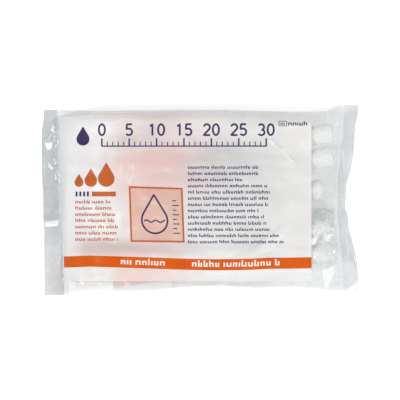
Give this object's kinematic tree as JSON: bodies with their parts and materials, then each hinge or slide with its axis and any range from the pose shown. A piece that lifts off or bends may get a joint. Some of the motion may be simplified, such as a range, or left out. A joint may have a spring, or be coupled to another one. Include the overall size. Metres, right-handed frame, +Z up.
{
  "type": "pack of insulin syringes",
  "caption": "Sealed clear film pack of capped insulin syringes: barrels, plungers, stoppers, cannulas, needle shields and plunger caps in a printed crimped bag.",
  "frame": {"origin": "middle of the face that the pack lies on", "axes": "+X along the pack towards the plunger ends, +Y across it, +Z up through the printed front"},
  "size_m": [0.159, 0.0954, 0.0229],
  "materials": {
    "film": "clear film",
    "film_weld": "welded ridged film",
    "white_ink": "translucent ink",
    "orange_ink": "ink",
    "clear_plastic": "clear moulding",
    "orange_plastic": "satin moulding",
    "white_plastic": "satin moulding",
    "cap_plastic": "ribbed moulding",
    "rubber": "matt",
    "steel": "polished tube",
    "adhesive": "cured resin"
  },
  "bodies": {
    "bag": {"back_film": "film", "back_fin_seal": "film_weld", "left_crimp": "film_weld", "cannulas": "steel", "adhesive_beads": "adhesive", "barrel_01": "clear_plastic", "barrel_02": "clear_plastic", "barrel_03": "clear_plastic", "barrel_04": "clear_plastic", "barrel_05": "clear_plastic", "barrel_06": "clear_plastic", "barrel_07": "clear_plastic", "barrel_08": "clear_plastic", "barrel_09": "clear_plastic", "barrel_10": "clear_plastic"},
    "bag_front": {"front_film": "film", "ink_panel": "white_ink", "ink_stripe": "orange_ink", "right_crimp": "film_weld"},
    "plunger_01": {"plunger_rod_01": "white_plastic", "stopper_01": "rubber"},
    "cap_01": {"plunger_cap_01": "cap_plastic"},
    "shield_01": {"needle_shield_01": "orange_plastic"},
    "plunger_02": {"plunger_rod_02": "white_plastic", "stopper_02": "rubber"},
    "cap_02": {"plunger_cap_02": "cap_plastic"},
    "shield_02": {"needle_shield_02": "orange_plastic"},
    "plunger_03": {"plunger_rod_03": "white_plastic", "stopper_03": "rubber"},
    "cap_03": {"plunger_cap_03": "cap_plastic"},
    "shield_03": {"needle_shield_03": "orange_plastic"},
    "plunger_04": {"plunger_rod_04": "white_plastic", "stopper_04": "rubber"},
    "cap_04": {"plunger_cap_04": "cap_plastic"},
    "shield_04": {"needle_shield_04": "orange_plastic"},
    "plunger_05": {"plunger_rod_05": "white_plastic", "stopper_05": "rubber"},
    "cap_05": {"plunger_cap_05": "cap_plastic"},
    "shield_05": {"needle_shield_05": "orange_plastic"},
    "plunger_06": {"plunger_rod_06": "white_plastic", "stopper_06": "rubber"},
    "cap_06": {"plunger_cap_06": "cap_plastic"},
    "shield_06": {"needle_shield_06": "orange_plastic"},
    "plunger_07": {"plunger_rod_07": "white_plastic", "stopper_07": "rubber"},
    "cap_07": {"plunger_cap_07": "cap_plastic"},
    "shield_07": {"needle_shield_07": "orange_plastic"},
    "plunger_08": {"plunger_rod_08": "white_plastic", "stopper_08": "rubber"},
    "cap_08": {"plunger_cap_08": "cap_plastic"},
    "shield_08": {"needle_shield_08": "orange_plastic"},
    "plunger_09": {"plunger_rod_09": "white_plastic", "stopper_09": "rubber"},
    "cap_09": {"plunger_cap_09": "cap_plastic"},
    "shield_09": {"needle_shield_09": "orange_plastic"},
    "plunger_10": {"plunger_rod_10": "white_plastic", "stopper_10": "rubber"},
    "cap_10": {"plunger_cap_10": "cap_plastic"},
    "shield_10": {"needle_shield_10": "orange_plastic"}
  },
  "joints": [
    {"name": "bag_front_peel", "type": "hinge", "parent": "bag", "child": "bag_front", "pos_m": [-0.069, 0, 0.00025], "axis": [0, -1, 0], "range_deg": [0, 105], "deforming": ["front_film", "ink_panel", "ink_stripe", "right_crimp"]},
    {"name": "needle_shield_pull_01", "type": "slide", "parent": "bag", "child": "shield_01", "axis": [-0.986, -0.165, -0.0222], "range_m": [0, 0.0175]},
    {"name": "needle_shield_pull_02", "type": "slide", "parent": "bag", "child": "shield_02", "axis": [-0.986, -0.165, -0.0222], "range_m": [0, 0.0175]},
    {"name": "needle_shield_pull_03", "type": "slide", "parent": "bag", "child": "shield_03", "axis": [-0.9874, -0.1564, -0.0222], "range_m": [0, 0.0175]},
    {"name": "needle_shield_pull_04", "type": "slide", "parent": "bag", "child": "shield_04", "axis": [-0.99, -0.1391, -0.0222], "range_m": [0, 0.0175]},
    {"name": "needle_shield_pull_05", "type": "slide", "parent": "bag", "child": "shield_05", "axis": [-0.9919, -0.1253, -0.0222], "range_m": [0, 0.0175]},
    {"name": "needle_shield_pull_06", "type": "slide", "parent": "bag", "child": "shield_06", "axis": [-0.9903, -0.1392, 0], "range_m": [0, 0.0175]},
    {"name": "needle_shield_pull_07", "type": "slide", "parent": "bag", "child": "shield_07", "axis": [-0.9898, -0.1426, 0], "range_m": [0, 0.0175]},
    {"name": "needle_shield_pull_08", "type": "slide", "parent": "bag", "child": "shield_08", "axis": [-0.9914, -0.1305, 0], "range_m": [0, 0.0175]},
    {"name": "needle_shield_pull_09", "type": "slide", "parent": "bag", "child": "shield_09", "axis": [-0.9936, -0.1132, 0], "range_m": [0, 0.0175]},
    {"name": "needle_shield_pull_10", "type": "slide", "parent": "bag", "child": "shield_10", "axis": [-0.9954, -0.0958, 0], "range_m": [0, 0.0175]},
    {"name": "plunger_draw_01", "type": "slide", "parent": "bag", "child": "plunger_01", "axis": [0.986, 0.165, 0.0222], "range_m": [0, 0.0373]},
    {"name": "plunger_draw_02", "type": "slide", "parent": "bag", "child": "plunger_02", "axis": [0.986, 0.165, 0.0222], "range_m": [0, 0.0373]},
    {"name": "plunger_draw_03", "type": "slide", "parent": "bag", "child": "plunger_03", "axis": [0.9874, 0.1564, 0.0222], "range_m": [0, 0.0373]},
    {"name": "plunger_draw_04", "type": "slide", "parent": "bag", "child": "plunger_04", "axis": [0.99, 0.1391, 0.0222], "range_m": [0, 0.0373]},
    {"name": "plunger_draw_05", "type": "slide", "parent": "bag", "child": "plunger_05", "axis": [0.9919, 0.1253, 0.0222], "range_m": [0, 0.0373]},
    {"name": "plunger_draw_06", "type": "slide", "parent": "bag", "child": "plunger_06", "axis": [0.9903, 0.1392, 0], "range_m": [0, 0.0373]},
    {"name": "plunger_draw_07", "type": "slide", "parent": "bag", "child": "plunger_07", "axis": [0.9898, 0.1426, 0], "range_m": [0, 0.0373]},
    {"name": "plunger_draw_08", "type": "slide", "parent": "bag", "child": "plunger_08", "axis": [0.9914, 0.1305, 0], "range_m": [0, 0.0373]},
    {"name": "plunger_draw_09", "type": "slide", "parent": "bag", "child": "plunger_09", "axis": [0.9936, 0.1132, 0], "range_m": [0, 0.0373]},
    {"name": "plunger_draw_10", "type": "slide", "parent": "bag", "child": "plunger_10", "axis": [0.9954, 0.0958, 0], "range_m": [0, 0.0373]},
    {"name": "plunger_cap_pull_01", "type": "slide", "parent": "plunger_01", "child": "cap_01", "axis": [0.986, 0.165, 0.0222], "range_m": [0, 0.018]},
    {"name": "plunger_cap_pull_02", "type": "slide", "parent": "plunger_02", "child": "cap_02", "axis": [0.986, 0.165, 0.0222], "range_m": [0, 0.018]},
    {"name": "plunger_cap_pull_03", "type": "slide", "parent": "plunger_03", "child": "cap_03", "axis": [0.9874, 0.1564, 0.0222], "range_m": [0, 0.018]},
    {"name": "plunger_cap_pull_04", "type": "slide", "parent": "plunger_04", "child": "cap_04", "axis": [0.99, 0.1391, 0.0222], "range_m": [0, 0.018]},
    {"name": "plunger_cap_pull_05", "type": "slide", "parent": "plunger_05", "child": "cap_05", "axis": [0.9919, 0.1253, 0.0222], "range_m": [0, 0.018]},
    {"name": "plunger_cap_pull_06", "type": "slide", "parent": "plunger_06", "child": "cap_06", "axis": [0.9903, 0.1392, 0], "range_m": [0, 0.018]},
    {"name": "plunger_cap_pull_07", "type": "slide", "parent": "plunger_07", "child": "cap_07", "axis": [0.9898, 0.1426, 0], "range_m": [0, 0.018]},
    {"name": "plunger_cap_pull_08", "type": "slide", "parent": "plunger_08", "child": "cap_08", "axis": [0.9914, 0.1305, 0], "range_m": [0, 0.018]},
    {"name": "plunger_cap_pull_09", "type": "slide", "parent": "plunger_09", "child": "cap_09", "axis": [0.9936, 0.1132, 0], "range_m": [0, 0.018]},
    {"name": "plunger_cap_pull_10", "type": "slide", "parent": "plunger_10", "child": "cap_10", "axis": [0.9954, 0.0958, 0], "range_m": [0, 0.018]}
  ]
}
